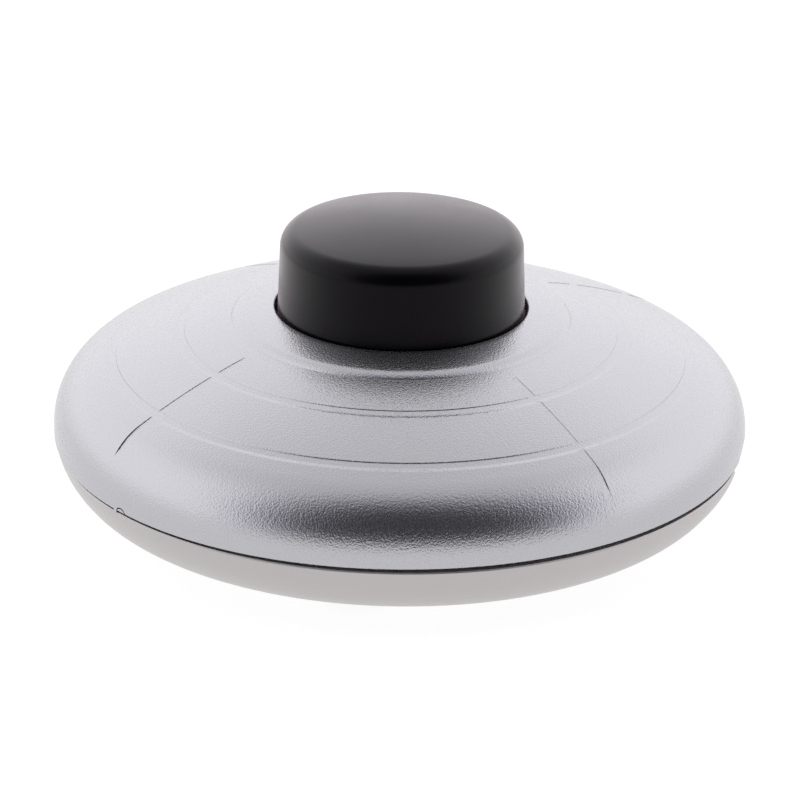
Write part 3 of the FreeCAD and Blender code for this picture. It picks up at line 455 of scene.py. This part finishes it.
def makeDome(s):
    points, sinks, height = domeProfile(s)
    seed = seedObject("domeProfile", points, closed=True)
    drop = seed.data.attributes.new("sink", "FLOAT_VECTOR", "POINT")
    drop.data.foreach_set("vector", [part for offset in sinks for part in offset])
    tree, given = newTree("silverDome", {
        "Columns": int, "Spoke Width": float, "Spoke Wall": float, "Spoke Margin": float})

    # angle of a column and its share of the depth; four columns stand close on each side of a spoke
    def lanes(column, radius):
        flatEnd, wallEnd, laneEnd = 2.0, 3.0, 4.0  # counted from the spoke's middle column
        quarter = calc(tree, "FLOOR", calc(tree, "DIVIDE", calc(tree, "ADD", column, 0.5), given["Columns"]))
        middle = calc(tree, "DIVIDE", given["Columns"], 2.0)
        first = calc(tree, "MULTIPLY", quarter, given["Columns"])
        steps = calc(tree, "SUBTRACT", calc(tree, "SUBTRACT", column, first), middle)
        away = calc(tree, "ABSOLUTE", steps)

        def stretch(start, end, width):
            return addNode(tree, "ShaderNodeMapRange", {
                "Value": away, "From Min": start, "From Max": end, "To Min": 0.0, "To Max": width}).outputs["Result"]

        flat = calc(tree, "MULTIPLY", calc(tree, "SUBTRACT", given["Spoke Width"], given["Spoke Wall"]), 0.5)
        aside = calc(tree, "ADD", stretch(0.0, flatEnd, flat), stretch(flatEnd, wallEnd, given["Spoke Wall"]))
        aside = calc(tree, "DIVIDE", calc(tree, "ADD", aside, stretch(wallEnd, laneEnd, given["Spoke Margin"])), radius)
        lane = calc(tree, "ADD", calc(tree, "ADD", flat, given["Spoke Wall"]), given["Spoke Margin"])
        rest = stretch(laneEnd, middle, calc(tree, "SUBTRACT", math.pi / 4, calc(tree, "DIVIDE", lane, radius)))
        turn = calc(tree, "MULTIPLY", calc(tree, "SIGN", steps), calc(tree, "ADD", aside, rest))
        spoke = calc(tree, "MULTIPLY_ADD", quarter, math.pi / 2, math.radians(45 + s["spokeTurn"]))
        return calc(tree, "ADD", spoke, turn), calc(tree, "LESS_THAN", away, flatEnd + 0.5)

    sink = addNode(tree, "GeometryNodeInputNamedAttribute", {"Name": "sink"}, data_type="FLOAT_VECTOR")
    around = calc(tree, "MULTIPLY", given["Columns"], 4.0)
    shell = spin(tree, given["Geometry"], around, True, lanes, sink.outputs["Attribute"])

    # the rim's lower edge rises a little towards the right, so that the seam is wider there
    spot = addNode(tree, "GeometryNodeInputPosition").outputs[0]
    parts = addNode(tree, "ShaderNodeSeparateXYZ", {"Vector": spot}).outputs
    low = fade(tree, parts["Z"], (s["rim"] + s["rimFade"]) * mm, s["rim"] * mm)
    rise = calc(tree, "MULTIPLY", calc(tree, "MULTIPLY", parts["X"], low), s["rimTilt"])
    shell = addNode(tree, "GeometryNodeSetPosition", {
        "Geometry": shell, "Offset": addNode(tree, "ShaderNodeCombineXYZ", {"Z": rise}).outputs[0]}).outputs[0]

    def rod(radius, length, offset, turn=(0, 0, 0), sides=64):
        made = addNode(tree, "GeometryNodeMeshCylinder", {
            "Vertices": sides, "Radius": radius * mm, "Depth": length * mm})
        return moved(tree, made.outputs["Mesh"], offset, turn)

    bossTop = height(s["bossY"] + s["bossRadius"]) - s["wall"] / 2
    middle = (s["bossFoot"] + bossTop) / 2
    stop = height(s["hole"], s["collarTop"]) - s["holeLip"]
    deep = s["keyDepth"] + (s["sleeve"][1] - s["sleeve"][0]) / 2
    tall = s["sleeveDepth"] + s["keyRoot"]
    keySize = (s["keyWidth"] * mm, deep * mm, tall * mm)
    bosses, pilots, keys = [], [], []
    for side in (-1, 1):
        bosses.append(rod(s["bossRadius"], bossTop - s["bossFoot"], (0, side * s["bossY"], middle)))
        pilots.append(rod(s["pilotRadius"], 2 * s["pilotDepth"], (0, side * s["bossY"], s["bossFoot"])))
        bar = addNode(tree, "GeometryNodeMeshCube", {"Size": keySize}).outputs["Mesh"]
        keyY = side * (s["sleeve"][0] - s["keyDepth"] + deep / 2)
        keys.append(moved(tree, bar, (0, keyY, stop - s["sleeveDepth"] / 2 + s["keyRoot"] / 2)))
    archDrop = math.sqrt(s["archRadius"] ** 2 - s["inletWidth"] ** 2 / 4)
    arch = rod(s["archRadius"], 3 * s["radius"], (0, 0, s["rim"] - archDrop), (0, 90, 0), sides=128)  # both inlets

    def peg(size, azimuth, start, end, drop):  # short rod that points outwards at the rim
        away, reach = math.radians(azimuth), (start + end) / 2
        offset = (reach * math.cos(away), reach * math.sin(away), s["rim"] - drop)
        return rod(size, end - start, offset, (0, 90, azimuth), sides=32)

    # mark for a blade at the seam: a slit round a tongue, with a nub beside it
    pryFloor, over = s["radius"] - s["pryDepth"], s["cutOver"]
    pry = peg(s["pryRadius"], s["pryAzimuth"], pryFloor, pryFloor + 2 * over, s["pryDrop"])
    tongue = peg(s["pryRadius"] - s["pryGap"], s["pryAzimuth"], pryFloor - over, pryFloor + 3 * over, s["pryDrop"])
    nub = peg(s["nubRadius"], s["nubAzimuth"], pryFloor - over, pryFloor + s["nubReach"], s["nubDrop"])
    whole = cut(tree, shell, *bosses, *keys, nub, operation="UNION")
    closeTree(tree, cut(tree, whole, *pilots, arch, cut(tree, pry, tongue)), "dome_paint", s["crease"])
    grow("silverDome", tree, seed, {
        "Columns": s["columns"], "Spoke Width": s["spokeWidth"] * mm, "Spoke Wall": s["spokeWall"] * mm,
        "Spoke Margin": s["spokeMargin"] * mm}, "dome_paint", "housing", "upper_housing")


makeDome(domeSet)


# return spring: round wire on a coil whose end turns lie closed
springSet = dict(
    radius=8.0, wire=0.45, turns=5.5, closedPitch=2.02, bottom=12.5, top=28.04,  # bottom and top of the wire's middle
    stepsPerTurn=48, wireSides=14, travel=4.0)


def makeSpring(s):
    seed = seedObject("springSeat", [(0, 0, s["bottom"])])
    tree, given = newTree("returnSpring", {
        "Turns": float, "Radius": float, "Height": float, "Wire": float, "Steps": int, "Wire Sides": int})
    coil = addNode(tree, "GeometryNodeCurveSpiral", {
        "Resolution": given["Steps"], "Rotations": given["Turns"], "Start Radius": given["Radius"],
        "End Radius": given["Radius"], "Height": 0.0}).outputs["Curve"]
    turn = calc(tree, "MULTIPLY", addNode(tree, "GeometryNodeSplineParameter").outputs["Factor"], given["Turns"])
    pitch = calc(tree, "MULTIPLY", given["Wire"], s["closedPitch"])
    rest = calc(tree, "SUBTRACT", given["Height"], calc(tree, "MULTIPLY", pitch, 2.0))
    tail = calc(tree, "SUBTRACT", given["Turns"], 1.0)

    def climb(start, end, rise):
        return addNode(tree, "ShaderNodeMapRange", {
            "Value": turn, "From Min": start, "From Max": end, "To Min": 0.0, "To Max": rise}).outputs["Result"]

    lift = calc(tree, "ADD", climb(0.0, 1.0, pitch), climb(1.0, tail, rest))
    lift = calc(tree, "ADD", lift, climb(tail, given["Turns"], pitch))
    offset = addNode(tree, "ShaderNodeCombineXYZ", {"Z": lift}).outputs[0]
    wound = addNode(tree, "GeometryNodeSetPosition", {"Geometry": coil, "Offset": offset}).outputs[0]
    ring = addNode(tree, "GeometryNodeCurvePrimitiveCircle", {
        "Resolution": given["Wire Sides"], "Radius": given["Wire"]})
    wire = addNode(tree, "GeometryNodeCurveToMesh", {
        "Curve": wound, "Profile Curve": ring.outputs["Curve"], "Fill Caps": True}).outputs["Mesh"]
    seated = addNode(tree, "GeometryNodeInstanceOnPoints", {"Points": given["Geometry"], "Instance": wire}).outputs[0]
    closeTree(tree, seated, "steel")
    height = s["top"] - s["bottom"]
    spring = grow("returnSpring", tree, seed, {
        "Turns": s["turns"], "Radius": s["radius"] * mm, "Height": height * mm, "Wire": s["wire"] * mm,
        "Steps": s["stepsPerTurn"], "Wire Sides": s["wireSides"]}, "steel", "housing", "return_spring")
    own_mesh(spring)


makeSpring(springSet)


# screws: one turned pan head with its drive cut in, set on every seat of its kind at a turn of its own
screwSet = dict(
    columns=44, rows=8, driveWidth=0.7, driveDepth=0.8, slotShare=1.2, crossShare=0.6, brim=0.55, tip=0.2,
    terminal=dict(node="terminal_screws", radius=1.5, length=1.7, head=2.8, headHeight=1.8, slot=True,
                  flip=0.0, seed=3, seats=[(15.75, 0, 4.8), (-15.75, 0, 4.8), (13.0, -14.0, 4.8), (-13.0, -14.0, 4.8)]),
    carrier=dict(node="carrier_screws", radius=1.2, length=2.5, head=3.2, headHeight=1.6, slot=False,
                 flip=0.0, seed=5, seats=[(10.5, 11.0, 4.2), (-10.5, 11.0, 4.2)]),
    cordClamp=dict(node="cord_clamp_screws", radius=1.2, length=5.6, head=2.3, headHeight=1.5, slot=False,
                   flip=0.0, seed=8, seats=[(x, y, 10.05) for x in (-26.5, 26.5) for y in (-6.8, 6.8)]),
    housing=dict(node="housing_screws", radius=1.5, length=9.0, head=3.0, headHeight=1.9, slot=False,
                 flip=math.pi, seed=13, seats=[(0, -26.2, 3.4), (0, 26.2, 3.4)]))


def makeScrews(kind, s, shared):
    tip = shared["tip"]
    profile = [(0, 0, -s["length"]), (s["radius"] - tip, 0, -s["length"]), (s["radius"], 0, tip - s["length"]),
               (s["radius"], 0, 0), (s["head"], 0, 0)]
    for row in range(shared["rows"] + 1):  # low elliptic crown above an upright brim
        r = s["head"] * math.cos(math.pi / 2 * row / shared["rows"])
        crown = math.sqrt(max(1 - (r / s["head"]) ** 2, 0.0))
        profile.append((r, 0, s["headHeight"] * (shared["brim"] + (1 - shared["brim"]) * crown)))
    seats = seedObject(kind + "Seats", s["seats"])
    seed = seedObject(kind + "ScrewProfile", profile)
    tree, given = newTree(kind + "Screws", {
        "Seats": bpy.types.Object, "Columns": int, "Drive Width": float, "Drive Depth": float, "Drive Length": float,
        "Head Height": float, "Flip": float, "Seed": int})
    screw = spin(tree, given["Geometry"], given["Columns"], False)
    for along, across in ("XY",) if s["slot"] else ("XY", "YX"):
        size = addNode(tree, "ShaderNodeCombineXYZ", {
            along: given["Drive Length"], across: given["Drive Width"],
            "Z": calc(tree, "MULTIPLY", given["Drive Depth"], 2.0)})
        bar = addNode(tree, "GeometryNodeMeshCube", {"Size": size.outputs[0]}).outputs["Mesh"]
        up = addNode(tree, "ShaderNodeCombineXYZ", {"Z": given["Head Height"]}).outputs[0]
        raised = addNode(tree, "GeometryNodeTransform", {"Geometry": bar, "Translation": up}).outputs[0]
        screw = cut(tree, screw, raised)
    points = addNode(tree, "GeometryNodeObjectInfo", {"Object": given["Seats"]}).outputs["Geometry"]
    anyTurn = addNode(tree, "FunctionNodeRandomValue", {"Seed": given["Seed"]}, data_type="FLOAT")
    anyTurn.inputs["Max"].default_value = math.tau
    turned = addNode(tree, "ShaderNodeCombineXYZ", {"X": given["Flip"], "Z": anyTurn.outputs["Value"]}).outputs[0]
    placed = addNode(tree, "GeometryNodeInstanceOnPoints", {
        "Points": points, "Instance": screw, "Rotation": turned}).outputs[0]
    closeTree(tree, placed, "steel")
    span = s["head"] * 2 * shared["slotShare" if s["slot"] else "crossShare"]
    grow(kind + "Screws", tree, seed, {
        "Seats": seats, "Columns": shared["columns"], "Drive Width": shared["driveWidth"] * mm,
        "Drive Depth": shared["driveDepth"] * mm, "Drive Length": span * mm, "Head Height": s["headHeight"] * mm,
        "Flip": s["flip"], "Seed": s["seed"]}, "steel", "housing", s["node"])
    bpy.data.objects.remove(seats)


for kind in ("terminal", "carrier", "cordClamp", "housing"):
    makeScrews(kind, screwSet[kind], screwSet)


# rubber feet: four turned pads with a rounded edge and a shallow dish underneath
footSet = dict(
    radius=4.0, height=2.0, edge=0.55, dish=0.18, dishRound=0.3, rib=0.9, offset=16.3, columns=64)


def makeFeet(s):
    dishEdge, turn = s["radius"] - s["edge"] - s["rib"], s["dishRound"]
    profile = [(0, 0, s["dish"]), (dishEdge - turn, 0, s["dish"])]
    profile += bend((dishEdge, turn), turn, 200, 180, 2)
    profile += bend((s["radius"] - s["edge"], s["edge"]), s["edge"], 180, 90, 8)
    profile += [(s["radius"], 0, s["height"]), (0, 0, s["height"])]
    seats = seedObject("footSeats", [(x * s["offset"], y * s["offset"], 0) for x in (-1, 1) for y in (-1, 1)])
    seed = seedObject("footProfile", profile)
    tree, given = newTree("rubberFeet", {"Seats": bpy.types.Object, "Columns": int})
    pad = spin(tree, given["Geometry"], given["Columns"], False)
    points = addNode(tree, "GeometryNodeObjectInfo", {"Object": given["Seats"]}).outputs["Geometry"]
    placed = addNode(tree, "GeometryNodeInstanceOnPoints", {"Points": points, "Instance": pad}).outputs[0]
    closeTree(tree, placed, "rubber")
    grow("rubberFeet", tree, seed, {"Seats": seats, "Columns": s["columns"]}, "rubber", "housing",
         "foot_front_left", "foot_front_right", "foot_rear_left", "foot_rear_right")
    bpy.data.objects.remove(seats)


makeFeet(footSet)


# the other CAD nodes keep their shape and get the finish of their slot, merged corners and soft shading
cadShadeSet = dict(weld=0.002 * mm, crease=32.0)


def dressCadNode(name, slot):
    piece = nodes[name]
    piece.data.materials.clear()
    piece.data.materials.append(finishes[slot])
    for face in piece.data.polygons:
        face.use_smooth = True
        face.material_index = 0
    weld = piece.modifiers.new("mergeCorners", "WELD")
    weld.merge_threshold = cadShadeSet["weld"]
    crease = piece.modifiers.new("keepEdges", "EDGE_SPLIT")
    crease.split_angle = math.radians(cadShadeSet["crease"])
    crease.use_edge_sharp = False


for part in frame["record"]["subparts"]:
    if not nodes[part["node"]].hide_render:
        dressCadNode(part["node"], part["material_slot"])
print("foot switch: CAD nodes dressed")


# studio: pale floor lit from all round, with the open, unlit front of the tent behind the camera
studioSet = dict(
    wall=1.44, roof=0.84, roofFade=(0.62, 1.0),
    open=0.035, openAzimuth=15.0, openElevation=21.0, openInner=33.0, openOuter=66.0,
    clothTone=(0.985, 0.98, 1.0), openTone=(0.92, 0.92, 1.1),
    floorSize=4.0, floorTone=(0.2, 0.2, 0.2), floorMottle=(6.0, 0.985), floorRough=0.8, floorGloss=0.1,
    floorGlow=(0.9, 0.5), floorFade=(-0.1, -0.45))


def fromAngles(azimuth, elevation):
    a, e = math.radians(azimuth), math.radians(elevation)
    return Vector((math.sin(a) * math.cos(e), -math.cos(a) * math.cos(e), math.sin(e)))


def makeTent(s):
    world = bpy.data.worlds.new("lightTent")
    world.use_nodes = True
    tree = world.node_tree
    towards = addNode(tree, "ShaderNodeTexCoord").outputs["Generated"]
    front = addNode(tree, "ShaderNodeVectorMath", operation="DOT_PRODUCT")
    feed(tree, front.inputs[0], towards)
    feed(tree, front.inputs[1], fromAngles(s["openAzimuth"], s["openElevation"]))
    rim, heart = (math.cos(math.radians(s[key])) for key in ("openOuter", "openInner"))
    gap = fade(tree, front.outputs["Value"], rim, heart)
    height = addNode(tree, "ShaderNodeSeparateXYZ", {"Vector": towards}).outputs["Z"]
    cloth = fade(tree, height, *s["roofFade"], s["wall"], s["roof"])
    lit = calc(tree, "MULTIPLY", cloth, calc(tree, "SUBTRACT", 1.0, gap))
    sky = tree.nodes["Background"]
    feed(tree, sky.inputs["Color"], tones(tree, gap, s["clothTone"], s["openTone"]))
    feed(tree, sky.inputs["Strength"], calc(tree, "MULTIPLY_ADD", gap, s["open"], lit))
    scene.world = world


def makeFloor(s):
    mesh = bpy.data.meshes.new("studioFloor")
    half = s["floorSize"] / 2
    mesh.from_pydata([(-half, -half, 0), (half, -half, 0), (half, half, 0), (-half, half, 0)], [], [(0, 1, 2, 3)])
    floor = bpy.data.objects.new("studioFloor", mesh)
    scene.collection.objects.link(floor)
    finish, tree, shader, place = newFinish("paleFloor")
    scale, share = s["floorMottle"]
    tone = s["floorTone"]
    feed(tree, shader.inputs["Base Color"], tones(
        tree, noise(tree, place, scale), [share * part for part in tone], tone))
    shader.inputs["Roughness"].default_value = s["floorRough"]
    shader.inputs["Specular IOR Level"].default_value = s["floorGloss"]
    shader.inputs["Emission Color"].default_value = (1.0, 1.0, 1.0, 1.0)
    front = addNode(tree, "ShaderNodeSeparateXYZ", {"Vector": place}).outputs["Y"]  # darker towards the open front
    feed(tree, shader.inputs["Emission Strength"], fade(tree, front, *s["floorFade"], *s["floorGlow"]))
    mesh.materials.append(finish)


makeTent(studioSet)
makeFloor(studioSet)
scene.view_settings.view_transform = "Standard"
print("foot switch: studio set")


cameraSet = dict(
    azimuth=8.7, elevation=22.8, roll=0.762, distance=0.45, lens=193.7, sensor=36.0,
    rimHeight=7.8 * mm, lift=2.74 * mm)


def placeCamera(s):
    lens = bpy.data.cameras.new("photoCamera")
    lens.lens = s["lens"]
    lens.sensor_width = s["sensor"]
    camera = bpy.data.objects.new("photoCamera", lens)
    scene.collection.objects.link(camera)
    rim = Vector((0, 0, s["rimHeight"]))
    back = fromAngles(s["azimuth"], s["elevation"])
    right = Vector((0, 0, 1)).cross(back).normalized()
    spot = rim + back * s["distance"]
    aim = rim + back.cross(right) * s["lift"]
    view = (spot - aim).normalized()
    right = Vector((0, 0, 1)).cross(view).normalized()
    turn = Matrix((right, view.cross(right), view)).transposed() @ Matrix.Rotation(math.radians(s["roll"]), 3, "Z")
    camera.matrix_world = Matrix.Translation(spot) @ turn.to_4x4()
    scene.camera = camera


placeCamera(cameraSet)
print("foot switch: camera placed")
